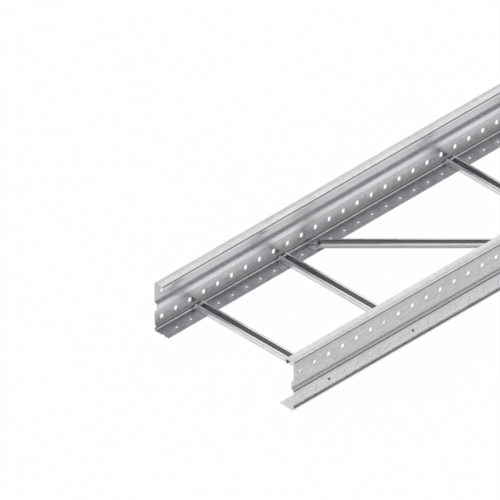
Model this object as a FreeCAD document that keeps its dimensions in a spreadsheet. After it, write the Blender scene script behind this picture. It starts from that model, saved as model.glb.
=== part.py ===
import FreeCAD, Part
import math
import os
from types import SimpleNamespace

import Sketcher

# Long-span cable ladder section: two rolled side rails stand on their long edges, and C-rail rungs lie
# between them on the bottom flanges. In two bays a slanting brace takes the place of a rung.
# X runs along the ladder, Y across it and Z up. The origin is at the middle of the underside.

# Every size is in millimetres. Heights on a rail are measured from its underside. Widths and depths on
# a rail are measured inwards from the outer face of its web.
SIZES = {
    "ladder_length": 3000.0,
    "ladder_width": 500.0,
    "rail_height": 150.0,
    "rail_sheet": 2.0,
    "rail_bend_radius": 1.0,
    "foot_bend_radius": 3.0,
    "top_flange_width": 31.0,
    "lip_drop": 16.5,
    "lip_lean": 3.0,
    "bottom_flange_width": 51.0,
    "bead_middle_height": 75.0,
    "bead_mouth_height": 28.0,
    "bead_floor_height": 19.5,
    "bead_depth": 8.0,
    "crease_top_height": 21.5,
    "crease_ridge_height": 16.0,
    "crease_foot_height": 7.5,
    "crease_depth": 4.2,
    "hole_pitch": 50.0,
    "first_web_hole": 25.0,
    "web_hole_edge_distance": 35.0,
    "coupling_hole_diameter": 11.5,
    "web_slot_width": 11.0,
    "web_slot_height": 13.5,
    "flange_hole_diameter": 7.0,
    "flange_hole_line": 30.5,
    "rung_pitch": 300.0,
    "first_rung": 150.0,
    "rung_width": 30.0,
    "rung_height": 15.0,
    "rung_slot_width": 16.0,
    "rung_sheet": 1.5,
    "rung_end_clearance": 2.5,
    "brace_width": 28.0,
    "brace_height": 12.0,
    "brace_slot_width": 16.0,
    "brace_sheet": 1.5,
    "brace_pressed_width": 44.0,
    "brace_pressed_gap": 0.3,
    "brace_flat_length": 20.0,
    "brace_taper_length": 14.0,
    "brace_end_radius": 19.0,
    "brace_end_clearance": 0.3,
    "brace_shift": 25.0,
}

# The rung place, counted from either end of the ladder, that a brace takes.
BRACED_PLACE = 3

# The round holes that repeat along a flange are drawn with few sides. The ones that other parts are
# bolted to are true circles, and so are the half holes that each end of the flange is cut through.
FLANGE_HOLE_SIDES = 6

doc = FreeCAD.newDocument("cable_ladder")
sheet = doc.addObject("Spreadsheet::Sheet", "Sizes")
for row, (alias, number) in enumerate(SIZES.items(), start=1):
    sheet.set(f"A{row}", alias)
    sheet.set(f"B{row}", str(number))
    sheet.setAlias(f"B{row}", alias)
doc.recompute()


class Size:
    """A length that carries its present value and the expression that gives it from the sheet."""

    def __init__(self, value, text):
        self.value = value
        self.text = text

    def joined(self, sign, other, value):
        return Size(value, f"({self.text} {sign} {as_size(other).text})")

    def __add__(self, other):
        return self.joined("+", other, self.value + as_size(other).value)

    def __sub__(self, other):
        return self.joined("-", other, self.value - as_size(other).value)

    def __mul__(self, other):
        return self.joined("*", other, self.value * as_size(other).value)

    def __truediv__(self, other):
        return self.joined("/", other, self.value / as_size(other).value)

    def __rmul__(self, other):
        return as_size(other) * self

    def __neg__(self):
        return -1 * self


def as_size(number):
    return number if isinstance(number, Size) else Size(number, str(number))


ZERO = Size(0.0, "0")
ROOT_TWO = Size(math.sqrt(2.0), "sqrt(2)")
S = SimpleNamespace(**{alias: Size(number, f"Sizes.{alias}") for alias, number in SIZES.items()})


def bind(item, prop, length):
    """Sets a property of a document object by expression."""
    item.setExpression(prop, length.text)


def add_body(name):
    """A new body whose label names the piece."""
    body = doc.addObject("PartDesign::Body", name)
    body.Label = name
    return body


def origin_item(body, role):
    """One of the body's own origin planes or axes."""
    return next(item for item in body.Origin.OriginFeatures if item.Role == role)


def add_sketch(body, name, role, lift=ZERO):
    """A sketch on one of the body's own origin planes, or lifted off it."""
    sketch = body.newObject("Sketcher::SketchObject", name)
    sketch.AttachmentSupport = [(origin_item(body, role), "")]
    sketch.MapMode = "FlatFace"
    if lift is not ZERO:
        bind(sketch, "AttachmentOffset.Base.z", lift)
    return sketch


def constrain(sketch, kind, *where):
    """Adds a constraint, and binds it if its last argument is a size."""
    if isinstance(where[-1], Size):
        index = sketch.addConstraint(Sketcher.Constraint(kind, *where[:-1], where[-1].value))
        bind(sketch, f"Constraints[{index}]", where[-1])
    else:
        sketch.addConstraint(Sketcher.Constraint(kind, *where))


def hold(sketch, kind, line, length, end=1):
    """Fixes how far across or up a point of a line or circle lies from the sketch's origin."""
    if length is ZERO:
        constrain(sketch, "PointOnObject", line, end, -2 if kind == "DistanceX" else -1)
    else:
        constrain(sketch, kind, -1, 1, line, end, length)


def place_point(sketch, line, end, across, up):
    """Fixes one end of a line, or a circle's centre, both ways."""
    hold(sketch, "DistanceX", line, across, end)
    hold(sketch, "DistanceY", line, up, end)


def vector(across, up):
    return FreeCAD.Vector(across, up, 0)


def add_feature(body, kind, name, profile, **properties):
    """A feature made from a sketch. Sizes given as properties are bound, and others are set."""
    feature = body.newObject(kind, name)
    feature.Profile = profile
    for prop, value in properties.items():
        if isinstance(value, Size):
            bind(feature, prop, value)
        else:
            setattr(feature, prop, value)
    profile.Visibility = False
    return feature


def unit(start, end):
    """The unit vector from one corner, given by its values, to another."""
    length = math.dist(start, end)
    return ((end[0] - start[0]) / length, (end[1] - start[1]) / length)


def skin_corners(corners, thickness, side):
    """Where the sheet's other face has its corners, on the side of the line that side gives."""
    values = [(across.value, up.value) for across, up in corners]
    directions = [unit(a, b) for a, b in zip(values, values[1:])]
    normals = [(-side * dy, side * dx) for dx, dy in directions]
    first = (values[0][0] + thickness * normals[0][0], values[0][1] + thickness * normals[0][1])
    last = (values[-1][0] + thickness * normals[-1][0], values[-1][1] + thickness * normals[-1][1])
    skin = [first]
    for point, a, b in zip(values[1:-1], normals, normals[1:]):
        reach = thickness / (1.0 + a[0] * b[0] + a[1] * b[1])
        skin.append((point[0] + reach * (a[0] + b[0]), point[1] + reach * (a[1] + b[1])))
    skin.append(last)
    return values, skin


def sheet_section(sketch, corners, thickness, side):
    """Draws the cut through a bent sheet: one face through the corners, the other a sheet away."""
    values, skin = skin_corners(corners, thickness.value, side)
    outline = values + skin[::-1]
    for start, end in zip(outline, outline[1:] + outline[:1]):
        sketch.addGeometry(Part.LineSegment(vector(*start), vector(*end)), False)
    lines = len(outline)
    for line in range(lines):
        constrain(sketch, "Coincident", line, 2, (line + 1) % lines, 1)
    for line, (across, up) in enumerate(corners):
        place_point(sketch, line, 1, across, up)
    far_cap = len(corners) - 1
    for line in range(far_cap):
        opposite = lines - 2 - line
        constrain(sketch, "Parallel", line, opposite)
        constrain(sketch, "Distance", opposite, 1, line, thickness)
    constrain(sketch, "Perpendicular", far_cap - 1, far_cap)
    constrain(sketch, "Perpendicular", lines - 1, 0)
    return values, skin


def stepped_outline(sketch, corners):
    """Draws a closed outline of level and upright lines through its corners."""
    count = len(corners)
    points = [(across.value, up.value) for across, up in corners]
    for n in range(count):
        sketch.addGeometry(Part.LineSegment(vector(*points[n]), vector(*points[(n + 1) % count])), False)
    for n, (across, up) in enumerate(corners):
        constrain(sketch, "Coincident", (n - 1) % count, 2, n, 1)
        upright = abs(points[(n + 1) % count][0] - points[n][0]) < 1e-6
        constrain(sketch, "Vertical" if upright else "Horizontal", n)
        if upright:
            hold(sketch, "DistanceX", n, across)
        else:
            hold(sketch, "DistanceY", n, up)


def long_edges(shape, points):
    """The names of the edges along X that pass through the given points of the section."""
    names = []
    for number, edge in enumerate(shape.Edges, start=1):
        a, b = edge.firstVertex().Point, edge.lastVertex().Point
        if max(abs(a.y - b.y), abs(a.z - b.z)) > 1e-6:
            continue
        if any(math.dist((a.y, a.z), point) < 1e-3 for point in points):
            names.append(f"Edge{number}")
    return names


def add_fillet(body, name, base, points, radius):
    """Rounds the long edges that stand at the given points of the section."""
    doc.recompute()
    fillet = body.newObject("PartDesign::Fillet", name)
    fillet.Base = (base, long_edges(base.Shape, points))
    bind(fillet, "Radius", radius)
    doc.recompute()
    return fillet


def bend_sheet(body, base, values, skin):
    """Gives each bend of the rail its inner radius on one face and its outer radius on the other.

    The last bend, at the foot of the web, is rounder than the rest.
    """
    inner, outer = [], []
    for number in range(1, len(values) - 1):
        before = unit(values[number - 1], values[number])
        after = unit(values[number], values[number + 1])
        turn = before[0] * after[1] - before[1] * after[0]
        to_skin = unit(values[number], skin[number])
        towards = before[0] * to_skin[1] - before[1] * to_skin[0]
        inside, outside = (skin, values) if turn * towards > 0 else (values, skin)
        inner.append(inside[number])
        outer.append(outside[number])
    rounded = add_fillet(body, "BendInsides", base, inner[:-1], S.rail_bend_radius)
    rounded = add_fillet(body, "BendOutsides", rounded, outer[:-1], S.rail_bend_radius + S.rail_sheet)
    rounded = add_fillet(body, "FootInside", rounded, inner[-1:], S.foot_bend_radius)
    add_fillet(body, "FootOutside", rounded, outer[-1:], S.foot_bend_radius + S.rail_sheet)


def holes_from(first):
    """How many holes at the hole pitch fit on the rail from a first one on."""
    return int((S.ladder_length.value - first.value) / S.hole_pitch.value) + 1


def add_row(body, name, hole, count):
    """Repeats a hole along the rail at the hole pitch."""
    row = body.newObject("PartDesign::LinearPattern", name)
    row.Originals = [hole]
    row.Direction = (origin_item(body, "X_Axis"), [""])
    row.Occurrences = count
    bind(row, "Length", (count - 1) * S.hole_pitch)
    body.Tip = row


def rail_corners(side):
    """The corners of a rail's outer face, from the lip's edge round to the bottom flange's edge."""
    middle = S.bead_middle_height
    mouth = S.bead_mouth_height / 2
    floor = S.bead_floor_height / 2
    corners = [
        (S.top_flange_width - S.lip_lean, S.rail_height - S.lip_drop),
        (S.top_flange_width, S.rail_height),
        (ZERO, S.rail_height),
        (ZERO, middle + mouth),
        (S.bead_depth, middle + floor),
        (S.bead_depth, middle - floor),
        (ZERO, middle - mouth),
        (ZERO, S.crease_top_height),
        (S.crease_depth, S.crease_ridge_height),
        (ZERO, S.crease_foot_height),
        (ZERO, ZERO),
        (S.bottom_flange_width, ZERO),
    ]
    return [(depth if depth is ZERO else side * depth, height) for depth, height in corners]


def slot_corners(across, up):
    """The corners of an upright slot about a point."""
    steps = [(-1, -1), (1, -1), (1, 1), (-1, 1)]
    return [(across + i * S.web_slot_width / 2, up + j * S.web_slot_height / 2) for i, j in steps]


def add_circle(sketch, across, up, diameter):
    circle = Part.Circle(vector(across.value, up.value), FreeCAD.Vector(0, 0, 1), diameter.value / 2)
    number = sketch.addGeometry(circle, False)
    place_point(sketch, number, 3, across, up)
    constrain(sketch, "Diameter", number, diameter)


def add_polygon(sketch, across, up, diameter, sides):
    """A round hole drawn with few sides. Its corners lie on a circle, and its lowest side is level."""
    middle = vector(across.value, up.value)
    turns = [(n - 0.5) * 2 * math.pi / sides - math.pi / 2 for n in range(sides)]
    reach = diameter.value / 2
    corners = [middle + vector(reach * math.cos(turn), reach * math.sin(turn)) for turn in turns]
    for a, b in zip(corners, corners[1:] + corners[:1]):
        sketch.addGeometry(Part.LineSegment(a, b), False)
    circle = sketch.addGeometry(Part.Circle(middle, FreeCAD.Vector(0, 0, 1), reach), True)
    place_point(sketch, circle, 3, across, up)
    constrain(sketch, "Diameter", circle, diameter)
    for side in range(sides):
        constrain(sketch, "Coincident", side, 2, (side + 1) % sides, 1)
        constrain(sketch, "PointOnObject", side, 1, circle)
        if side:
            constrain(sketch, "Equal", 0, side)
    constrain(sketch, "Horizontal", 0)


def cut_web(body, name, sketch):
    """Cuts a sketch on the rail's upright plane through its web."""
    return add_feature(body, "PartDesign::Pocket", name, sketch, Type="ThroughAll", Midplane=True)


def cut_flange(body, name, sketch):
    """Cuts a sketch on the underside up through the bottom flange."""
    depth = S.rail_sheet + S.rail_bend_radius
    return add_feature(body, "PartDesign::Pocket", name, sketch, Length=depth, Reversed=True)


def web_hole(number):
    """How far from the rail's end a web hole lies, counted from 1."""
    return S.first_web_hole + (number - 1) * S.hole_pitch


def flange_hole(number):
    """The same for a flange hole. They lie midway between web holes, and number 0 is cut by the end."""
    return S.first_web_hole + (number - 0.5) * S.hole_pitch


def cut_web_holes(body):
    """Two rows of slots. In the upper row the two places next to each end are round bolt holes."""
    count = holes_from(S.first_web_hole)
    lower = add_sketch(body, "LowerSlot", "XZ_Plane")
    stepped_outline(lower, slot_corners(S.first_web_hole, S.web_hole_edge_distance))
    add_row(body, "LowerSlotRow", cut_web(body, "LowerSlotCut", lower), count)

    height = S.rail_height - S.web_hole_edge_distance
    bolted = add_sketch(body, "CouplingHoles", "XZ_Plane")
    for number in (1, 2, count - 1, count):
        add_circle(bolted, web_hole(number), height, S.coupling_hole_diameter)
    cut_web(body, "CouplingHoleCuts", bolted)
    upper = add_sketch(body, "UpperSlot", "XZ_Plane")
    stepped_outline(upper, slot_corners(web_hole(3), height))
    add_row(body, "UpperSlotRow", cut_web(body, "UpperSlotCut", upper), count - 4)


def cut_flange_holes(body, side):
    line = side * S.flange_hole_line
    last = holes_from(flange_hole(0)) - 1
    ends = add_sketch(body, "FlangeEndHoles", "XY_Plane")
    for number in (0, 1, last - 1, last):
        add_circle(ends, flange_hole(number), line, S.flange_hole_diameter)
    cut_flange(body, "FlangeEndHoleCuts", ends)
    repeated = add_sketch(body, "FlangeHole", "XY_Plane")
    add_polygon(repeated, flange_hole(2), line, S.flange_hole_diameter, FLANGE_HOLE_SIDES)
    add_row(body, "FlangeHoleRow", cut_flange(body, "FlangeHoleCut", repeated), last - 3)


def make_rail(name, side):
    """One side rail, drawn from the left end of its web's outer face. Side is 1 where +Y is inwards."""
    body = add_body(name)
    section = add_sketch(body, "Section", "YZ_Plane")
    values, skin = sheet_section(section, rail_corners(side), S.rail_sheet, side)
    strip = add_feature(body, "PartDesign::Pad", "Strip", section, Length=S.ladder_length)
    bend_sheet(body, strip, values, skin)
    cut_web_holes(body)
    cut_flange_holes(body, side)
    bind(body, "Placement.Base.x", -S.ladder_length / 2)
    bind(body, "Placement.Base.y", -side * S.ladder_width / 2)
    return body


def channel_corners(width, height, slot, thickness):
    """The outline of a C-rail's section, slot upwards."""
    half, gap = width / 2, slot / 2
    return [
        (gap, height),
        (half, height),
        (half, ZERO),
        (-half, ZERO),
        (-half, height),
        (-gap, height),
        (-gap, height - thickness),
        (-half + thickness, height - thickness),
        (-half + thickness, thickness),
        (half - thickness, thickness),
        (half - thickness, height - thickness),
        (gap, height - thickness),
    ]


# A rung stops short of the crease, whose inner face stands farthest into the ladder.
RUNG_END = S.crease_depth + S.rail_sheet + S.rung_end_clearance


def make_rung(name, along):
    """A C-rail laid across the ladder on the bottom flanges, slot upwards."""
    body = add_body(name)
    section = add_sketch(body, "Section", "YZ_Plane")
    outline = channel_corners(S.rung_width, S.rung_height, S.rung_slot_width, S.rung_sheet)
    stepped_outline(section, outline)
    add_feature(body, "PartDesign::Pad", "Rail", section,
                Length=S.ladder_width - 2 * RUNG_END, Midplane=True)
    body.Placement.Rotation = FreeCAD.Rotation(FreeCAD.Vector(0, 0, 1), 90)
    bind(body, "Placement.Base.x", along - S.ladder_length / 2)
    bind(body, "Placement.Base.z", S.rail_sheet)
    return body


# A brace lies at 45 degrees. Its ends are pressed flat and wide, and their rounded corners stop just
# short of the bend between web and bottom flange.
PRESSED_HEIGHT = 2 * S.brace_sheet + S.brace_pressed_gap
CORNER_DISTANCE = S.rail_sheet + S.foot_bend_radius + S.brace_end_clearance
BRACE_END = (CORNER_DISTANCE + S.brace_end_radius
             - (2 * S.brace_end_radius - S.brace_pressed_width / 2) / ROOT_TWO)
BRACE_HALF = (S.ladder_width / 2 - BRACE_END) * ROOT_TWO


def corner_outline(sketch, tip, half_width, radius, way):
    """The scrap between a pressed end's square corner and its rounded one."""
    x, y, r = tip.value, way * half_width.value, radius.value
    centre = vector(x - r, y - way * r)
    angles = (0.0, math.pi / 2) if way > 0 else (-math.pi / 2, 0.0)
    first = sketch.GeometryCount
    arc = Part.ArcOfCircle(Part.Circle(centre, FreeCAD.Vector(0, 0, 1), r), *angles)
    sketch.addGeometry(arc, False)
    sketch.addGeometry(Part.LineSegment(vector(x, y - way * r), vector(x, y)), False)
    sketch.addGeometry(Part.LineSegment(vector(x, y), vector(x - r, y)), False)
    end_point, side_point = (1, 2) if way > 0 else (2, 1)
    constrain(sketch, "Tangent", first, end_point, first + 1, 1)
    constrain(sketch, "Coincident", first + 1, 2, first + 2, 1)
    constrain(sketch, "Tangent", first + 2, 2, first, side_point)
    constrain(sketch, "Vertical", first + 1)
    constrain(sketch, "Horizontal", first + 2)
    place_point(sketch, first + 1, 2, tip, way * half_width)
    constrain(sketch, "Radius", first, radius)


def make_brace(name, along):
    """A C-rail laid at 45 degrees between the bottom flanges, with both ends pressed flat."""
    body = add_body(name)
    bent = channel_corners(S.brace_width, S.brace_height, S.brace_slot_width, S.brace_sheet)
    pressed = channel_corners(S.brace_pressed_width, PRESSED_HEIGHT, S.brace_slot_width, S.brace_sheet)
    taper_start = BRACE_HALF - S.brace_flat_length - S.brace_taper_length
    flat_start = BRACE_HALF - S.brace_flat_length

    middle = add_sketch(body, "MiddleSection", "YZ_Plane")
    stepped_outline(middle, bent)
    add_feature(body, "PartDesign::Pad", "Rail", middle, Length=2 * taper_start, Midplane=True)

    start = add_sketch(body, "TaperStart", "YZ_Plane", taper_start)
    stepped_outline(start, bent)
    finish = add_sketch(body, "TaperFinish", "YZ_Plane", flat_start)
    stepped_outline(finish, pressed)
    taper = add_feature(body, "PartDesign::AdditiveLoft", "Taper", start,
                        Sections=[finish], Ruled=True)
    flat = add_feature(body, "PartDesign::Pad", "PressedEnd", finish, Length=S.brace_flat_length)
    scrap = add_sketch(body, "EndCorners", "XY_Plane")
    for way in (1, -1):
        corner_outline(scrap, BRACE_HALF, S.brace_pressed_width / 2, S.brace_end_radius, way)
    rounding = add_feature(body, "PartDesign::Pocket", "RoundedEnd", scrap,
                           Length=S.brace_height, Reversed=True)
    other_end = body.newObject("PartDesign::Mirrored", "OtherEnd")
    other_end.Originals = [taper, flat, rounding]
    other_end.MirrorPlane = (origin_item(body, "YZ_Plane"), [""])
    body.Tip = other_end

    body.Placement.Rotation = FreeCAD.Rotation(FreeCAD.Vector(0, 0, 1), -45)
    bind(body, "Placement.Base.x", along - S.ladder_length / 2)
    bind(body, "Placement.Base.z", S.rail_sheet)
    return body


def is_straight(edge):
    start, end = edge.firstVertex().Point, edge.lastVertex().Point
    return abs(edge.Length - start.distanceToPoint(end)) < 1e-6


def with_true_planes(shape):
    """The same solid, with planes in place of the flat faces that a loft leaves as splines."""
    faces = []
    for face in shape.Faces:
        if all(is_straight(edge) for edge in face.Edges):
            loops = [[vertex.Point for vertex in wire.OrderedVertexes] for wire in face.Wires]
            face = Part.Face([Part.makePolygon(loop + loop[:1]) for loop in loops])
        faces.append(face)
    shell = Part.makeShell(faces)
    shell.sewShape()
    return Part.makeSolid(shell).removeSplitter()


def rung_place(number):
    """How far from the left end a rung place lies, counted from 1."""
    return S.first_rung + (number - 1) * S.rung_pitch


places = int((S.ladder_length.value - S.first_rung.value) / S.rung_pitch.value) + 1
braced = {BRACED_PLACE: S.brace_shift, places + 1 - BRACED_PLACE: -S.brace_shift}
pieces = [make_rail("side_rail_right", 1), make_rail("side_rail_left", -1)]
rung_numbers = [number for number in range(1, places + 1) if number not in braced]
for count, number in enumerate(rung_numbers, start=1):
    pieces.append(make_rung(f"rung_{count}", rung_place(number)))
for count, (number, shift) in enumerate(braced.items(), start=1):
    pieces.append(make_brace(f"brace_{count}", rung_place(number) + shift))
doc.recompute()

for item in doc.Objects:
    faults = {"Invalid", "Error"} & set(item.State)
    if faults:
        raise RuntimeError(f"{item.Name} failed: {sorted(faults)}")

os.makedirs("parts", exist_ok=True)
for body in pieces:
    shape = with_true_planes(body.Shape) if body.Label.startswith("brace") else body.Shape
    if shape.isNull() or not shape.isValid():
        raise RuntimeError(f"{body.Label} has no valid shape")
    shape.exportStep(os.path.join("parts", body.Label + ".step"))
    print(f"{body.Label}: {shape.Volume / 1000:.1f} cm3, {len(shape.Faces)} faces")
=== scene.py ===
# %% [markdown]
# # A length of galvanised cable ladder
#
# Thick power cables are carried through plant rooms and tunnels on ladders such as this one. Two side
# rails, rolled from punched steel strip, stand on edge. Short channel rungs lie between them, and two
# slanting braces keep the whole square. Everything is then dipped in molten zinc.
#
# The CAD model already has every size right, but its holes have few sides and its bends are plain. This
# lesson makes each piece again the way the factory does: punch the flat strip, roll it to its section,
# and coat it with zinc. The CAD model stays underneath as the frame that says where each piece goes.

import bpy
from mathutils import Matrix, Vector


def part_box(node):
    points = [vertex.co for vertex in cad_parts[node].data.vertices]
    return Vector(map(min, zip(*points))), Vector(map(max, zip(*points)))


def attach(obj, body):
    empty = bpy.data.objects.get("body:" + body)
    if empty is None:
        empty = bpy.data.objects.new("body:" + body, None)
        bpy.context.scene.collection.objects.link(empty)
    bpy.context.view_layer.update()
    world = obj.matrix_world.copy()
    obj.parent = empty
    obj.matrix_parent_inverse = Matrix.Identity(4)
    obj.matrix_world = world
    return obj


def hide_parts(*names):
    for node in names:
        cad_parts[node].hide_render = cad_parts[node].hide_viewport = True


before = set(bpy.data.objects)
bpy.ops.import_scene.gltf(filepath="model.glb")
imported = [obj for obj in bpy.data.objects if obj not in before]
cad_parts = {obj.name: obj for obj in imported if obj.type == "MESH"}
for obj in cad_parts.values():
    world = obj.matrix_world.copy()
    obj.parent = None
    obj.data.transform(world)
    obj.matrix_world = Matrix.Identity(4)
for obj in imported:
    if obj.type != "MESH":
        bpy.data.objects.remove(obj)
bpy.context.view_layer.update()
print("pieces in the frame:", sorted(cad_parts))

# %% [markdown]
# Blender works in metres, and a fitter thinks in millimetres. All sizes below are in millimetres, and the
# points are turned into metres once, when a mesh is made.

# %% Tools and units
import math

import bpy
import numpy as np
from mathutils import Vector

MM = 0.001


def box_in_mm(node):
    """The lowest and highest corner of a CAD node, in millimetres."""
    low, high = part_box(node)
    return np.array(low) / MM, np.array(high) / MM


low, high = box_in_mm("side_rail_right")
print("right rail from", low.round(2), "to", high.round(2))

# %% [markdown]
# ## Bending a line
#
# A rolled section is a line with rounded corners. Blender could round the corners with a Bevel modifier,
# but then the inside and the outside of a bend would get the same radius. Here each arc is worked out:
# the outside of a bend has the inside's radius plus the thickness of the sheet, as in a real press.

# %% A line with rounded corners
ARC_STEPS = 7


def left_of(direction):
    """The direction a quarter turn to the left: (x, y) becomes (-y, x)."""
    return np.stack([-direction[..., 1], direction[..., 0]], axis=-1)


def turned(direction, angle):
    """Each direction turned by its angle, by the usual sine and cosine formula."""
    cosine, sine = np.cos(angle), np.sin(angle)
    x, y = direction[..., 0], direction[..., 1]
    return np.stack([cosine * x - sine * y, sine * x + cosine * y], axis=-1)


def bent_line(corners, inside_radius, sheet):
    """The drawn face of a bent sheet whose body lies to the left of the line.

    At each corner the line turns by an angle a. The arc has radius r, which is the inside radius, plus
    the sheet where the line runs round the outside of the bend. It starts r * tan(a / 2) before the
    corner, and its centre is r to the side that the line turns to. Each point is the centre less r times
    the direction into the sheet, and that direction turns evenly from one run to the next.
    Returns the points and, for each, the unit direction into the sheet.
    """
    runs = np.diff(corners, axis=-2)
    ahead = runs / np.linalg.norm(runs, axis=-1, keepdims=True)
    before, after = ahead[..., :-1, :], ahead[..., 1:, :]
    crossed = before[..., 0] * after[..., 1] - before[..., 1] * after[..., 0]
    turn = np.arctan2(crossed, (before * after).sum(axis=-1))
    radius = np.sign(turn) * (inside_radius + np.where(turn > 0, sheet, 0.0))
    start = corners[..., 1:-1, :] - (radius * np.tan(turn / 2))[..., None] * before
    centre = start + radius[..., None] * left_of(before)
    share = np.linspace(0.0, 1.0, ARC_STEPS + 1)
    into = turned(left_of(before)[..., None, :], turn[..., None] * share)
    arcs = centre[..., None, :] - radius[..., None, None] * into

    def with_ends(first, middle, last):
        middle = middle.reshape(*middle.shape[:-3], -1, 2)
        return np.concatenate([first[..., None, :], middle, last[..., None, :]], axis=-2)

    points = with_ends(corners[..., 0, :], arcs, corners[..., -1, :])
    return points, with_ends(left_of(ahead[..., 0, :]), into, left_of(ahead[..., -1, :]))


sample, _ = bent_line(np.array([(0.0, 10.0), (0.0, 0.0), (10.0, 0.0)]), 1.5, 2.0)
print("a right-angle bend has", len(sample), "points")

# %% [markdown]
# ## From one face to a closed sheet
#
# Sheet metal is one face, the same face again one thickness deeper, and a narrow wall along every edge.
# The Solidify modifier does this too. Doing it with arrays keeps the thickness true in tight bends, and
# it gives each face its exact shading direction, so that flat steel looks flat right up to the bend.

# %% Give a face its thickness
SHARP = math.radians(30.0)
print("edges that turn by more than", round(math.degrees(SHARP)), "degrees stay sharp")


def open_edges(groups, count):
    """The edges that only one face uses, which are the borders of the sheet and of its holes."""
    starts = np.concatenate([group.ravel() for group in groups]).astype(np.int64)
    ends = np.concatenate([np.roll(group, -1, axis=1).ravel() for group in groups])
    alone = ~np.isin(starts * count + ends, ends.astype(np.int64) * count + starts)
    return starts[alone], ends[alone]


def volume_of(points, groups):
    """The volume inside the faces: a sixth of a . (b x c), added up over fans of triangles."""
    return sum(
        (points[g[:, :1]] * np.cross(points[g[:, 1:-1]], points[g[:, 2:]])).sum() / 6.0 for g in groups
    )


def sheet_piece(name, points, into, groups, sheet, painted_shading):
    """A closed piece of sheet metal from one face's points, its directions into the sheet, and faces.

    A point of the second face is the first one's plus the thickness times the direction into the sheet.
    The last argument holds three numbers for each point: how much painted shade its colour gets, or
    painted highlight where a number is below zero, on the first face, on the second and on the walls. They
    are kept for each corner of a face, so that a hole's wall can take painted shade where the face beside
    it does not.
    """
    count = len(points)
    solid = np.concatenate([points, points + sheet * into])
    start, end = open_edges(groups, count)
    wall = np.stack([end, start, start + count, end + count], axis=1)
    faces = [*groups, *(group[:, ::-1] + count for group in groups), wall]
    volume = volume_of(solid, faces)
    if volume < 0.0:
        faces = [group[:, ::-1] for group in faces]
    mesh = bpy.data.meshes.new(name)
    mesh.from_pydata((solid * MM).tolist(), [], [face for group in faces for face in group.tolist()])
    mesh.shade_smooth()
    mesh.set_sharp_from_angle(angle=SHARP)
    outwards = np.concatenate([-into, into])
    skins = [outwards[group.ravel()] for group in faces[:-1]]
    mesh.normals_split_custom_set(np.concatenate([*skins, np.zeros((wall.size, 3))]).tolist())
    # Painted shade and painted highlight, kept as a corner attribute that the zinc material reads.
    skin_painted_shading, wall_painted_shading = np.concatenate(painted_shading[:2]), np.tile(painted_shading[2], 2)
    values = [skin_painted_shading[group.ravel()] for group in faces[:-1]] + [wall_painted_shading[wall.ravel()]]
    mesh.attributes.new("painted_shading", "FLOAT", "CORNER").data.foreach_set("value", np.concatenate(values))
    piece = bpy.data.objects.new(name, mesh)
    bpy.context.scene.collection.objects.link(piece)
    print(f"{name}: {abs(volume) / 1000.0:.1f} cm3 of steel, {len(mesh.polygons)} faces")
    return piece


# %% [markdown]
# ## The side rails
#
# A rail starts as a flat strip. A press punches three rows of holes 50 mm apart: upright slots in the
# upper and lower part of the web, for the bolts of brackets and covers, and small round holes in the
# flange for fixing screws. Next to each end, two round holes of the upper row take the bolts of a
# coupling plate. Rollers then bend the strip. So the rail is drawn flat first, with one direction along
# the rail and the other across the strip, and bent afterwards.
#
# The flat drawing is made of columns between lines across the strip. Four columns make the cell of one
# hole, so the lines below are a quarter of the hole pitch apart, from one end of the rail to the other.

# %% Lines across the strip
RAIL_LENGTH = high[0] - low[0]
HOLE_PITCH = 50.0
COLUMNS = int(round(4 * RAIL_LENGTH / HOLE_PITCH))
lines = np.linspace(0.0, RAIL_LENGTH, COLUMNS + 1)
print(len(lines), "lines, the first at", lines[:6], "and the last at", lines[-3:])

# %% [markdown]
# ### The rolled section
#
# Seen from the end, a rail has a lip that hangs from its top flange, a stiffening bead half-way down the
# web, a small crease, and a wide bottom flange. The corners are measured from the web's outer face
# inwards and from the floor up, and run from the lip's edge to the bottom flange's edge.

# %% The rail's section
RAIL_SHEET = 2.0
RAIL_BEND, FOOT_BEND = 1.0, 3.0
RAIL_CORNERS = np.array([
    (28.0, 133.5), (31.0, 150.0), (0.0, 150.0),
    (0.0, 89.0), (8.0, 84.75), (8.0, 65.25), (0.0, 61.0),
    (0.0, 21.5), (4.2, 16.0), (0.0, 7.5),
    (0.0, 0.0), (51.0, 0.0),
])
rail_bends = np.append(np.full(len(RAIL_CORNERS) - 3, RAIL_BEND), FOOT_BEND)

section, section_into = bent_line(RAIL_CORNERS, rail_bends, RAIL_SHEET)
steps = np.linalg.norm(np.diff(section, axis=0), axis=1)
across = np.concatenate([[0.0], np.cumsum(steps)])
print(f"the strip is {across[-1]:.1f} mm wide before it is rolled")


def strip_distance(point):
    """How far across the strip a point of the section lies: the step that it adds no length to."""
    to_point = np.linalg.norm(section - np.array(point), axis=1)
    step = np.argmin(to_point[:-1] + to_point[1:] - steps)
    return across[step] + to_point[step]
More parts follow.
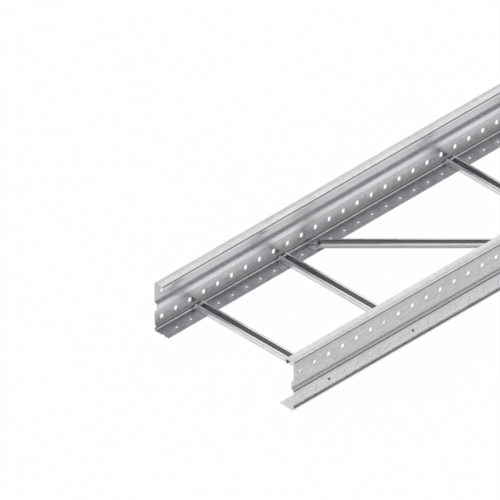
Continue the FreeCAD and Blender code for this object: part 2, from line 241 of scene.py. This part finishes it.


# %% [markdown]
# Dark lines of painted shade run along the bends of the strip, and a few others are lines of painted
# highlight. Each row of the table is one line along the rail: a point of the section, how far the line
# reaches to either side, and how much painted shade it puts on the outer and on the inner face. A number
# below zero is a painted highlight. The inner face also gets painted shade in the corner above the bottom
# flange. Only the wide bend in that corner is left out of it.

# %% Where shade and highlights are painted
# Rows of painted shade, and of painted highlight where a number is below zero.
PAINTED_LINES = np.array([
    (28.3, 135.0, 2.5, 0.4, 0.0),
    (29.5, 141.5, 10.0, 0.0, 1.6),
    (29.9, 148.6, 1.6, 1.65, 0.0),
    (24.0, 150.0, 6.0, -0.15, 0.0),
    (8.0, 150.0, 6.0, 0.3, 0.0),
    (0.0, 147.4, 1.5, 1.65, 0.5),
    (0.0, 104.0, 8.0, 0.0, 0.15),
    (0.0, 89.0, 1.9, 0.1, 0.7),
    (8.0, 84.2, 1.6, 0.0, 0.2),
    (8.0, 75.0, 8.0, 0.0, -0.25),
    (8.0, 66.0, 1.7, 1.1, 0.3),
    (4.0, 63.1, 6.0, 0.5, 0.0),
    (0.0, 60.7, 2.4, 1.65, 0.4),
    (0.0, 33.0, 10.0, 0.0, 0.13),
    (2.0, 19.0, 5.0, -0.65, 0.3),
    (3.0, 14.0, 3.0, -0.8, 0.9),
    (1.4, 10.3, 2.2, 1.35, 0.7),
    (0.0, 7.5, 3.0, 0.7, 0.7),
    (0.0, 2.0, 4.0, -0.55, 0.0),
    (1.5, 1.5, 3.0, 0.0, -0.9),
    (12.0, 0.0, 9.0, 0.0, -0.35),
])
FULL_SHARE = 0.4
# Painted shade in the inner corner above the bottom flange.
CORNER_PAINTED_SHADE, CORNER_WIDTH = 0.42, 28.0
BRIGHT_BEND = 2.5
# Painted shade on the walls of the holes.
PAINTED_HOLE_WALL_SHADE = 0.7
LEAST_ROW = 0.5

line_places = np.array([strip_distance(line[:2]) for line in PAINTED_LINES])
line_widths = PAINTED_LINES[:, 2]
line_rows = line_places[:, None] + line_widths[:, None] * np.array([-1.0, -FULL_SHARE, FULL_SHARE, 1.0])
line_rows = LEAST_ROW * np.unique(np.round(line_rows / LEAST_ROW))
foot = strip_distance((1.5, 1.5))
foot_rows = foot + np.array([-BRIGHT_BEND - 1.0, -BRIGHT_BEND, BRIGHT_BEND, BRIGHT_BEND + 1.0])


def painted_line_shading(distance, strengths):
    """Each line is full near its middle and fades away evenly over the rest of its reach.

    Of all the lines at a place, the strongest painted shade and the strongest painted highlight are added
    up.
    """
    away = np.abs(distance[:, None] - line_places) / line_widths
    strips = strengths * np.clip((1.0 - away) / (1.0 - FULL_SHARE), 0.0, 1.0)
    return strips.max(axis=1) + strips.min(axis=1)


def painted_corner_shade(distance):
    """A hill of painted shade round the foot of the web, by the bell curve exp(-d * d), with the bend
    itself left out.
    """
    away = np.abs(distance - foot)
    hill = CORNER_PAINTED_SHADE * np.exp(-(away / CORNER_WIDTH) ** 2)
    return hill * np.clip(away - BRIGHT_BEND, 0.0, 1.0)


# Where the painted lines of shade and highlight lie across the strip.
print("dull lines at", line_places.round(1), "mm across the strip")

# %% [markdown]
# ### Punching
#
# Each hole is an outline of 32 points in a cell whose border has 16. A face with five corners joins one
# step of the border to two steps of the hole, all the way round. A slot is four quarter circles pushed
# apart, which gives it the small round corners that a punch leaves.

# %% Outlines of the holes
HOLE_POINTS = 32
CELL_REACH = 12.0


def punched_outline(half_width, half_height, corner_radius):
    """Four quarter circles, each moved out from the middle. With nothing to move it is a circle."""
    corner = np.repeat(np.arange(4), HOLE_POINTS // 4)
    is_round = corner_radius >= half_width
    last = HOLE_POINTS // 4 if is_round else HOLE_POINTS // 4 - 1
    share = np.tile(np.arange(HOLE_POINTS // 4), 4) / last
    angle = (corner + share) * math.pi / 2.0
    circle = np.stack([np.cos(angle), np.sin(angle)], axis=1)
    quarter = np.array([(1, 1), (-1, 1), (-1, -1), (1, -1)])[corner]
    return corner_radius * circle + quarter * (np.array([half_width, half_height]) - corner_radius)


BOLT_HOLE = punched_outline(5.75, 5.75, 5.75)
WEB_SLOT = punched_outline(5.5, 6.75, 1.5)
FLANGE_HOLE = punched_outline(3.5, 3.5, 3.5)
print("a slot is", *np.ptp(WEB_SLOT, axis=0).round(2), "mm wide and high")

# %% [markdown]
# A cell is four columns long and two rows wide. The tables say on which of the cell's lines each of the
# 16 border points lies, starting at the right and going round to the left.

# %% Cells round the holes
BORDER_COLUMN = np.array([4, 4, 4, 3, 2, 1, 0, 0, 0, 0, 0, 1, 2, 3, 4, 4])
BORDER_ROW = np.array([0, 0.5, 1, 1, 1, 1, 1, 0.5, 0, -0.5, -1, -1, -1, -1, -1, -0.5])


def punched_row(first_line, cells, middle, outline):
    """The flat points and five-cornered faces of a row of cells, one round each hole."""
    start = first_line + 4 * np.arange(cells)[:, None]
    border = (lines[start + BORDER_COLUMN], middle + CELL_REACH * BORDER_ROW)
    hole = (lines[start + 2] + outline[:, 0], middle + outline[:, 1])
    border, hole = (np.stack(np.broadcast_arrays(*pair), axis=-1) for pair in (border, hole))
    points = np.concatenate([border, hole], axis=1).reshape(-1, 2)
    step, sides = np.arange(16), len(BORDER_ROW)
    around = [step, (step + 1) % sides]
    inside = [sides + (2 * step + ahead) % HOLE_POINTS for ahead in (2, 1, 0)]
    face = np.stack(around + inside, axis=1)
    size = sides + HOLE_POINTS
    return points, (size * np.arange(cells)[:, None, None] + face).reshape(-1, 5)


def plain_band(start, stop):
    """Four-cornered faces between two distances across the strip.

    Their rows lie at the points of the bends and where a dull line starts or ends.
    """
    inner = np.union1d(across, np.concatenate([line_rows, foot_rows]))
    rows = np.concatenate([[start], inner[(inner > start + 0.01) & (inner < stop - 0.01)], [stop]])
    points = np.stack(np.meshgrid(lines, rows, indexing="ij"), axis=-1).reshape(-1, 2)
    corner = np.arange(len(points)).reshape(len(lines), len(rows))
    face = [corner[:-1, :-1], corner[1:, :-1], corner[1:, 1:], corner[:-1, 1:]]
    return points, np.stack(face, axis=-1).reshape(-1, 4)


# %% [markdown]
# The flange holes lie midway between the web holes, so the saw that cuts the rail to length runs through
# the middle of one at each end and leaves half a hole.

# %% The sawn-through flange holes
NICK_POINTS = 24


def sawn_end(columns, middle):
    """One many-cornered face: a rectangle with half a circle bitten out of its outer end."""
    end, inner = lines[columns[0]], lines[columns[-1]]
    inwards = np.sign(inner - end)
    radius = FLANGE_HOLE[:, 0].max()
    angle = np.linspace(math.pi / 2.0, -math.pi / 2.0, NICK_POINTS)
    rows = middle + CELL_REACH * np.linspace(-1.0, 1.0, 5)
    outline = np.concatenate([
        np.stack([lines[columns], np.full(len(columns), rows[0])], axis=1),
        np.stack([np.full(3, inner), rows[1:-1]], axis=1),
        np.stack([lines[columns[::-1]], np.full(len(columns), rows[-1])], axis=1),
        np.stack([end + inwards * radius * np.cos(angle), middle + radius * np.sin(angle)], axis=1),
    ])
    return outline[::int(inwards)], np.arange(len(outline))[None]


# %% [markdown]
# The strip is put together from bands: plain steel, rows of cells, and the two sawn cells at its ends.
# Neighbouring bands have the same points along their common line, so that they can be welded there.

# %% Put the flat strip together
CELLS = COLUMNS // 4
upper = strip_distance((0.0, 115.0))
lower = strip_distance((0.0, 35.0))
flange = strip_distance((30.5, 0.0))

bands = [
    plain_band(0.0, upper - CELL_REACH),
    punched_row(0, 2, upper, BOLT_HOLE),
    punched_row(8, CELLS - 4, upper, WEB_SLOT),
    punched_row(COLUMNS - 8, 2, upper, BOLT_HOLE),
    plain_band(upper + CELL_REACH, lower - CELL_REACH),
    punched_row(0, CELLS, lower, WEB_SLOT),
    plain_band(lower + CELL_REACH, flange - CELL_REACH),
    punched_row(2, CELLS - 1, flange, FLANGE_HOLE),
    sawn_end(np.array([0, 1, 2]), flange),
    sawn_end(np.array([-1, -2, -3]), flange),
    plain_band(flange + CELL_REACH, across[-1]),
]


def welded(bands):
    """All bands as one set of points, where points that meet to a thousandth of a millimetre are one."""
    points = np.concatenate([band[0] for band in bands])
    thousandths = np.round(points * 1000.0).astype(np.int64)
    _, first, same = np.unique(thousandths, axis=0, return_index=True, return_inverse=True)
    offsets = np.cumsum([0] + [len(band[0]) for band in bands[:-1]])
    return points[first], [same.ravel()[band[1] + offset] for band, offset in zip(bands, offsets)]


strip, strip_faces = welded(bands)
print("the flat strip has", len(strip), "points and", sum(map(len, strip_faces)), "faces")

# %% [markdown]
# ### Rolling
#
# Rolling leaves a point's distance along the rail as it is. Its distance across the strip says where on
# the section it ends up. The left rail is the same strip rolled the other way round.

# %% Roll the two rails
def rolled_rail(node, side):
    """A strip point (x, s) goes to x along the rail and to the section's point at distance s.

    side is 1 for a rail whose flanges point to the left and -1 for the other. The walls of the holes get
    painted shade, and the sawn and sheared edges of the strip get none.
    """
    low, high = box_in_mm(node)
    web = low[1] if side > 0 else high[1]
    depth, height, into_depth, into_height = (
        np.interp(strip[:, 1], across, values) for values in (*section.T, *section_into.T)
    )
    points = np.stack([low[0] + strip[:, 0], web + side * depth, low[2] + height], axis=1)
    into = np.stack([np.zeros(len(strip)), side * into_depth, into_height], axis=1)
    # Painted lines of shade and highlight on both faces, and painted shade in the inner corner above the
    # flange.
    outside = painted_line_shading(strip[:, 1], PAINTED_LINES[:, 3])
    inside = painted_line_shading(strip[:, 1], PAINTED_LINES[:, 4]) + painted_corner_shade(strip[:, 1])
    beside = np.minimum(strip, [RAIL_LENGTH, across[-1]] - strip).min(axis=1) > 0.01
    name = node.replace("side", "rolled")
    painted_shading = [outside, inside, PAINTED_HOLE_WALL_SHADE * beside]
    piece = sheet_piece(name, points, into, strip_faces, RAIL_SHEET, painted_shading)
    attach(piece, "root")
    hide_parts(node)
    return piece


rails = [rolled_rail("side_rail_right", 1), rolled_rail("side_rail_left", -1)]

# %% [markdown]
# ## The rungs
#
# A rung is a channel with its slot upwards, so that clamps can be hooked into it anywhere along its
# length. It is one bent line carried straight from end to end. Its place comes from the CAD node.

# %% Channels
# Painted shade inside the channels, where their own walls shade them.
PAINTED_INSIDE_SHADE = 0.8


def channel_corners(half_width, height, half_slot):
    """The corners of a channel's outer face, from one edge of the slot down and round to the other."""
    level, flat = np.asarray(height), np.zeros_like(height)
    u = [-half_slot, -half_width, -half_width, half_width, half_width, half_slot]
    v = [level, level, flat, flat, level, level]
    return np.stack([np.stack(np.broadcast_arrays(a, b), axis=-1) for a, b in zip(u, v)], axis=-2)


def with_wall_rows(bent, lip_share, wall_share):
    """Adds a row to each lip and wall, so that the painted line of shade along the upper bend has
    somewhere to end.

    The arcs take ARC_STEPS + 1 points each. A row's point is one end's plus a share of the way to the
    other's, and the share is measured from the upper bend.
    """
    arc = ARC_STEPS + 1
    before = np.array([1, arc + 1, 3 * arc + 1, 4 * arc + 1])
    shares = np.array([1.0 - lip_share, wall_share, 1.0 - wall_share, lip_share])[:, None]

    def with_rows(values):
        rows = (1.0 - shares) * values[..., before - 1, :] + shares * values[..., before, :]
        return np.insert(values, before, rows, axis=-2)

    return [with_rows(values) for values in bent]


def channel_painted_shading(stations, lip, bend, wall, foot):
    """How much painted shade the outside gets from the slot down to the foot, and at least a fixed painted
    shade all over inside.
    """
    arc = ARC_STEPS + 1
    half = np.concatenate([[lip, lip], np.full(arc, bend), [wall], np.full(arc, foot)])
    one = np.concatenate([half, half[::-1]])
    outside = np.tile(one, stations)
    return [outside, np.maximum(outside, PAINTED_INSIDE_SHADE), 0.0 * outside]


def carried_faces(stations, count):
    """Four-cornered faces between neighbouring stations of a line with that many points."""
    corner = np.arange(stations * count).reshape(stations, count)
    face = [corner[:-1, :-1], corner[1:, :-1], corner[1:, 1:], corner[:-1, 1:]]
    return np.stack(face, axis=-1).reshape(-1, 4)


# %% [markdown]
# A rung gets painted highlight on the lips and the walls and painted shade at the bends between them. Its
# ends are sawn off straight, just short of the rail's crease.

# %% Make the rungs
RUNG_SHEET = 1.5
RUNG_BEND = 0.5
RUNG_HALF_SLOT = 8.0
RUNG_ROWS = {"lip_share": 0.15, "wall_share": 0.12}
# Painted shade for the bends, and painted highlight, below zero, for the lips and walls.
RUNG_PAINTED_SHADING = {"lip": -0.6, "bend": 0.35, "wall": -0.35, "foot": 0.05}


def make_rung(node):
    """The channel's section, the same at both ends."""
    low, high = box_in_mm(node)
    middle, half_width = (low[0] + high[0]) / 2.0, (high[0] - low[0]) / 2.0
    corners = channel_corners(half_width, high[2] - low[2], RUNG_HALF_SLOT)
    line, line_into = with_wall_rows(bent_line(corners, RUNG_BEND, RUNG_SHEET), **RUNG_ROWS)
    ends = np.array([low[1], high[1]])[:, None]
    u, v = np.broadcast_arrays(line[:, 0], ends)[0], np.broadcast_arrays(line[:, 1], ends)[0]
    points = np.stack([middle + u, np.broadcast_to(ends, u.shape), low[2] + v], axis=-1)
    into = np.stack([line_into[:, 0], np.zeros(len(line)), line_into[:, 1]], axis=1)
    into = np.broadcast_to(into, points.shape).reshape(-1, 3)
    faces = [carried_faces(2, len(line))]
    name = node.replace("rung", "channel_rung")
    painted_shading = channel_painted_shading(2, **RUNG_PAINTED_SHADING)
    piece = sheet_piece(name, points.reshape(-1, 3), into, faces, RUNG_SHEET, painted_shading)
    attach(piece, "root")
    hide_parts(node)
    return piece


rungs = [make_rung(node) for node in sorted(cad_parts) if node.startswith("rung")]

# %% [markdown]
# ## The braces
#
# A brace is a smaller channel laid at 45 degrees. A press flattens its ends, so that they lie low on the
# flanges: the walls fold outwards, and the channel grows wider as it grows lower. Its corners are then
# cut round. The whole shape is one bent line again, but its width, height and slot change along the way.

# %% How a brace's section changes
BRACE_SHEET = 1.5
BRACE_HALF_WIDTH, PRESSED_HALF_WIDTH = 14.0, 22.0
BRACE_HEIGHT, PRESSED_HEIGHT = 12.0, 3.3
BRACE_HALF_SLOT = 8.0
BRACE_ROWS = {"lip_share": 0.4, "wall_share": 0.35}
# Painted shade on the walls and the foot bends, for the shadow under the lips.
BRACE_PAINTED_SHADING = {"lip": 0.0, "bend": 0.15, "wall": 1.0, "foot": 0.8}
BRACE_BEND, PRESSED_BEND = 0.5, 0.1
FLAT_LENGTH = 20.0
TAPER_LENGTH = 14.0
END_RADIUS = 19.0
LEAST_LIP = 1.75


def brace_half_length(size):
    """From the CAD box: a 45 degree strip with round corners reaches this far from its middle.

    In the box's direction the corner's centre is (L - r + w - r) / sqrt(2) away, and the arc adds r.
    """
    corner_centre = (size[0] / 2.0 - END_RADIUS) * math.sqrt(2.0)
    return corner_centre - (PRESSED_HALF_WIDTH - END_RADIUS) + END_RADIUS


def brace_stations(half_length):
    """Distances from the brace's middle: even steps in the taper, and even angles round the end."""
    flat_start = half_length - FLAT_LENGTH
    taper = np.linspace(flat_start - TAPER_LENGTH, flat_start, 13)
    angle = np.linspace(0.0, math.pi / 2.0, 9)
    rounded = half_length - END_RADIUS * (1.0 - np.sin(angle))
    one_side = np.concatenate([taper, rounded])
    return np.concatenate([-one_side[::-1], one_side])


def brace_sizes(along, half_length):
    """Half width, height, half slot and bend radius at each station.

    The press blends from the open section to the flat one by the smooth step t * t * (3 - 2 * t). Round
    the end, the half width loses what a quarter circle takes away.
    """
    from_end = half_length - np.abs(along)
    t = np.clip((FLAT_LENGTH + TAPER_LENGTH - from_end) / TAPER_LENGTH, 0.0, 1.0)
    blend = t * t * (3.0 - 2.0 * t)
    half_width = BRACE_HALF_WIDTH + blend * (PRESSED_HALF_WIDTH - BRACE_HALF_WIDTH)
    height = BRACE_HEIGHT + blend * (PRESSED_HEIGHT - BRACE_HEIGHT)
    into_round = np.clip(END_RADIUS - from_end, 0.0, END_RADIUS)
    half_width = half_width - END_RADIUS + np.sqrt(END_RADIUS ** 2 - into_round ** 2)
    half_slot = np.minimum(BRACE_HALF_SLOT, half_width - LEAST_LIP)
    return half_width, height, half_slot, BRACE_BEND + blend * (PRESSED_BEND - BRACE_BEND)


print("a pressed end is", 2.0 * PRESSED_HALF_WIDTH, "mm wide and", PRESSED_HEIGHT, "mm high")

# %% [markdown]
# The section is worked out once for each station along the brace, all in one array. The stations lie close
# together where the shape changes, in the taper and round the corners, and nowhere else.

# %% Make the braces
def make_brace(node):
    """Each station's bent line, set along the brace and turned to its slant in plan.

    The direction into the sheet is the cross product of the surface's two directions, so that it also
    follows the taper.
    """
    low, high = box_in_mm(node)
    centre = (low + high) / 2.0
    slant = np.array([1.0, -1.0, 0.0]) / math.sqrt(2.0)
    beside = np.array([1.0, 1.0, 0.0]) / math.sqrt(2.0)
    half_length = brace_half_length(high - low)
    along = brace_stations(half_length)
    half_width, height, half_slot, bend = brace_sizes(along, half_length)
    corners = channel_corners(half_width, height, half_slot)
    line, line_into = with_wall_rows(bent_line(corners, bend[:, None], BRACE_SHEET), **BRACE_ROWS)
    points = along[:, None, None] * slant + line[..., :1] * beside + line[..., 1:] * np.array([0, 0, 1.0])
    into = line_into[..., :1] * beside + line_into[..., 1:] * np.array([0, 0, 1.0])
    crossed = np.cross(np.gradient(points, axis=0), np.gradient(points, axis=1))
    crossed /= np.linalg.norm(crossed, axis=-1, keepdims=True)
    into = crossed * np.sign((crossed * into).sum(axis=-1, keepdims=True))
    points = points + np.array([centre[0], centre[1], low[2]])
    faces = [carried_faces(len(along), line.shape[1])]
    name = node.replace("brace", "slanting_brace")
    points, into = points.reshape(-1, 3), into.reshape(-1, 3)
    painted_shading = channel_painted_shading(len(along), **BRACE_PAINTED_SHADING)
    piece = sheet_piece(name, points, into, faces, BRACE_SHEET, painted_shading)
    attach(piece, "root")
    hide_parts(node)
    return piece


braces = [make_brace(node) for node in sorted(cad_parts) if node.startswith("brace")]

# %% [markdown]
# ## Zinc
#
# Hot-dip galvanised steel is a soft grey metal. It isn't one grey: the zinc freezes in faint crystals the
# size of a fingernail, clouds of lighter and darker grey drift over them, and the rolled steel underneath
# shows as fine lines along the strip. A picture of zinc would repeat, so these patterns are worked out
# from noise at three scales.
#
# Node trees are hard to read as code, so a small class lets a material be written as sums. Each `Value`
# holds a socket, and adding, subtracting or multiplying it makes the Math node that does so.

# %% Material sums in Python
class Value:
    """A number on its way through a node tree."""

    def __init__(self, nodes, socket):
        self.nodes, self.socket = nodes, socket

    def joined(self, operation, first, second):
        return self.nodes.add("ShaderNodeMath", {"operation": operation}, {0: first, 1: second})

    def __add__(self, other):
        return self.joined("ADD", self, other)

    def __sub__(self, other):
        return self.joined("SUBTRACT", self, other)

    def __rsub__(self, other):
        return self.joined("SUBTRACT", other, self)

    def __mul__(self, other):
        return self.joined("MULTIPLY", self, other)

    __radd__ = __add__
    __rmul__ = __mul__


class Nodes:
    """A node tree that is filled by one method."""

    def __init__(self, tree):
        self.tree = tree
        tree.nodes.clear()

    def add(self, kind, settings=None, values=None, output=0):
        """Adds a node: its settings first, then the value or link of each socket."""
        node = self.tree.nodes.new(kind)
        for name, setting in (settings or {}).items():
            setattr(node, name, setting)
        for name, value in (values or {}).items():
            if isinstance(value, Value):
                self.tree.links.new(value.socket, node.inputs[name])
            else:
                node.inputs[name].default_value = value
        return Value(self, node.outputs[output]) if len(node.outputs) else node


print("values can be added, subtracted and multiplied")

# %% [markdown]
# The colour lies between a dark and a light grey, and the patterns say how far along. The piece's own
# numbers of painted shade then pull it towards a dark grey, or a little away from it, as a painted
# highlight, where they are below zero. Noise is sized in waves per metre, because Object coordinates are
# metres here.

# %% Galvanised steel
ZINC_DARK = (0.602, 0.612, 0.63)
ZINC_LIGHT = (0.89, 0.897, 0.907)
# The dark grey that painted shade pulls the zinc towards, and how far one unit of it pulls.
PAINTED_SHADE_GREY = (0.16, 0.165, 0.17)
PAINTED_SHADING_STRENGTH = 0.6
CLOUDS_PER_METRE, CRYSTALS_PER_METRE, LINES_PER_METRE = 14.0, 95.0, 230.0
LINE_STRETCH = 0.04
MEAN_ROUGHNESS = 0.34


def galvanised(name, strip_turn):
    """Zinc whose fine lines run along the strip, which is turned by strip_turn about the vertical."""
    material = bpy.data.materials.new(name)
    material.use_nodes = True
    nodes = Nodes(material.node_tree)
    place = nodes.add("ShaderNodeTexCoord", output="Object")
    clouds = nodes.add("ShaderNodeTexNoise", {}, {
        "Vector": place, "Scale": CLOUDS_PER_METRE, "Detail": 4.0, "Roughness": 0.55, "Distortion": 0.6})
    cells = nodes.add("ShaderNodeTexVoronoi", {"feature": "SMOOTH_F1"},
                      {"Vector": place, "Scale": CRYSTALS_PER_METRE, "Smoothness": 0.6}, output="Color")
    crystals = nodes.add("ShaderNodeRGBToBW", {}, {"Color": cells})
    along = nodes.add("ShaderNodeMapping", {}, {"Vector": place, "Rotation": (0.0, 0.0, -strip_turn)})
    along = nodes.add("ShaderNodeMapping", {}, {"Vector": along, "Scale": (LINE_STRETCH, 1.0, 1.0)})
    lines = nodes.add("ShaderNodeTexNoise", {}, {"Vector": along, "Scale": LINES_PER_METRE, "Detail": 2.0})
    tone = 0.5 + 0.45 * (clouds - 0.5) + 0.45 * (crystals - 0.5) + 0.9 * (lines - 0.5)
    zinc = nodes.add("ShaderNodeMix", {"data_type": "RGBA"},
                     {0: tone, 6: (*ZINC_DARK, 1.0), 7: (*ZINC_LIGHT, 1.0)}, output=2)
    # Painted shade and painted highlight from the piece's corner attribute.
    painted_shading = nodes.add("ShaderNodeAttribute", {"attribute_name": "painted_shading"}, output="Fac")
    colour = nodes.add("ShaderNodeMix", {"data_type": "RGBA", "clamp_factor": False},
                       {0: PAINTED_SHADING_STRENGTH * painted_shading, 6: zinc, 7: (*PAINTED_SHADE_GREY, 1.0)}, output=2)
    relief = 0.5 * crystals + 0.5 * lines
    bump = nodes.add("ShaderNodeBump", {}, {"Height": relief, "Strength": 0.12, "Distance": 0.0004})
    shader = nodes.add("ShaderNodeBsdfPrincipled", {}, {
        "Base Color": colour, "Metallic": 1.0, "Normal": bump,
        "Roughness": MEAN_ROUGHNESS + 0.16 * (crystals - 0.5) + 0.10 * (clouds - 0.5)})
    nodes.add("ShaderNodeOutputMaterial", {}, {"Surface": shader})
    print("made", name, "with", len(material.node_tree.nodes), "nodes")
    return material


FINISHES = (
    (rails, galvanised("galvanised_rail_zinc", 0.0)),
    (rungs, galvanised("galvanised_rung_zinc", math.pi / 2.0)),
    (braces, galvanised("galvanised_brace_zinc", -math.pi / 4.0)),
)
for pieces, material in FINISHES:
    for piece in pieces:
        piece.data.materials.append(material)

# %% [markdown]
# ## The floor, the light and the camera
#
# Metal shows what surrounds it, so its tones are set by what it mirrors. In the metal's reflections the
# floor glows with a painted pool of light under the ladder, and less so beyond it, which gives the outer
# web its fall from the foot to the top. The camera sees the floor almost white, while the floor still
# takes the ladder's shadow.

# %% Floor
FLOOR_HALF = 40.0
FLOOR_GREY = 0.86
FLOOR_WHITE = 0.985
POOL_EDGE = {"From Min": 0.27, "From Max": 0.37}
POOL_SHARE = {"To Min": 0.7, "To Max": 0.1}

floor_mesh = bpy.data.meshes.new("floor")
floor_corners = [(-FLOOR_HALF, -FLOOR_HALF, 0.0), (FLOOR_HALF, -FLOOR_HALF, 0.0),
                 (FLOOR_HALF, FLOOR_HALF, 0.0), (-FLOOR_HALF, FLOOR_HALF, 0.0)]
floor_mesh.from_pydata(floor_corners, [], [(0, 1, 2, 3)])
floor = bpy.data.objects.new("floor", floor_mesh)
bpy.context.scene.collection.objects.link(floor)

floor_material = bpy.data.materials.new("pale_floor")
floor_material.use_nodes = True
nodes = Nodes(floor_material.node_tree)
matt = nodes.add("ShaderNodeBsdfDiffuse", {}, {"Color": (FLOOR_GREY, FLOOR_GREY, FLOOR_GREY, 1.0)})
white = nodes.add("ShaderNodeEmission", {}, {"Strength": 1.0})
seen = nodes.add("ShaderNodeLightPath", output="Is Camera Ray")
through = nodes.add("ShaderNodeLightPath", output="Is Transmission Ray")
mirrored = nodes.add("ShaderNodeLightPath", output="Is Glossy Ray")
place = nodes.add("ShaderNodeTexCoord", output="Object")
sideways = nodes.add("ShaderNodeSeparateXYZ", {}, {"Vector": place}, output="Y")
aside = nodes.add("ShaderNodeMath", {"operation": "ABSOLUTE"}, {0: sideways})
# A painted pool of light that only the metal's reflections see.
pool = nodes.add("ShaderNodeMapRange", {"interpolation_type": "SMOOTHSTEP"},
                 {"Value": aside, **POOL_EDGE, **POOL_SHARE})
share = FLOOR_WHITE * seen + FLOOR_WHITE * through + pool * mirrored
mixed = nodes.add("ShaderNodeMixShader", {}, {"Fac": share, 1: matt, 2: white})
nodes.add("ShaderNodeOutputMaterial", {}, {"Surface": mixed})
floor_mesh.materials.append(floor_material)
print("the floor reaches", FLOOR_HALF, "m each way")

# %% [markdown]
# The sky is soft and bright all round, as in a photographer's tent. One side of it is darker, and its
# reflection darkens the bends, together with the painted shade there. The camera itself sees plain white.

# %% Sky
SKY_LEVEL = 0.93
DARK_SIDE = Vector((0.5, -1.0, -0.1)).normalized()
DARK_EDGE = {"From Min": 0.3, "From Max": 1.0}
DARKEST = 0.75

world = bpy.data.worlds.new("studio")
bpy.context.scene.world = world
world.use_nodes = True
nodes = Nodes(world.node_tree)
direction = nodes.add("ShaderNodeTexCoord", output="Generated")
towards_dark = nodes.add("ShaderNodeVectorMath", {"operation": "DOT_PRODUCT"},
                         {0: direction, 1: tuple(DARK_SIDE)}, output="Value")
shade = nodes.add("ShaderNodeMapRange", {"interpolation_type": "SMOOTHSTEP"},
                  {"Value": towards_dark, **DARK_EDGE, "To Min": 0.0, "To Max": DARKEST})
level = SKY_LEVEL * (1.0 - shade)
seen = nodes.add("ShaderNodeLightPath", output="Is Camera Ray")
through = nodes.add("ShaderNodeLightPath", output="Is Transmission Ray")
plain = seen + through
strength = plain + level * (1.0 - plain)
sky = nodes.add("ShaderNodeBackground", {}, {"Color": (1.0, 1.0, 1.0, 1.0), "Strength": strength})
nodes.add("ShaderNodeOutputWorld", {}, {"Surface": sky})
print("the sky is", SKY_LEVEL, "bright, and darker towards", tuple(round(v, 2) for v in DARK_SIDE))

# %% [markdown]
# The picture is an isometric view, in which equal lengths stay equal however far away they are. An
# orthographic camera draws such a view, and its scale is simply the width that the picture shows.

# %% Camera
PICTURE_WIDTH = 1.26628
CAMERA_DISTANCE = 6.0
AIM = Vector((-1.2281, 0.1794, 0.1496))
BACK = Vector((-1.0, -1.0, 1.0)).normalized()

lens = bpy.data.cameras.new("camera")
lens.type = "ORTHO"
lens.ortho_scale = PICTURE_WIDTH
camera = bpy.data.objects.new("camera", lens)
camera.location = AIM + BACK * CAMERA_DISTANCE
camera.rotation_euler = BACK.to_track_quat("Z", "Y").to_euler()
bpy.context.scene.collection.objects.link(camera)
bpy.context.scene.camera = camera
bpy.context.scene.view_settings.view_transform = "Standard"
print("the picture is", round(PICTURE_WIDTH / MM), "mm wide")
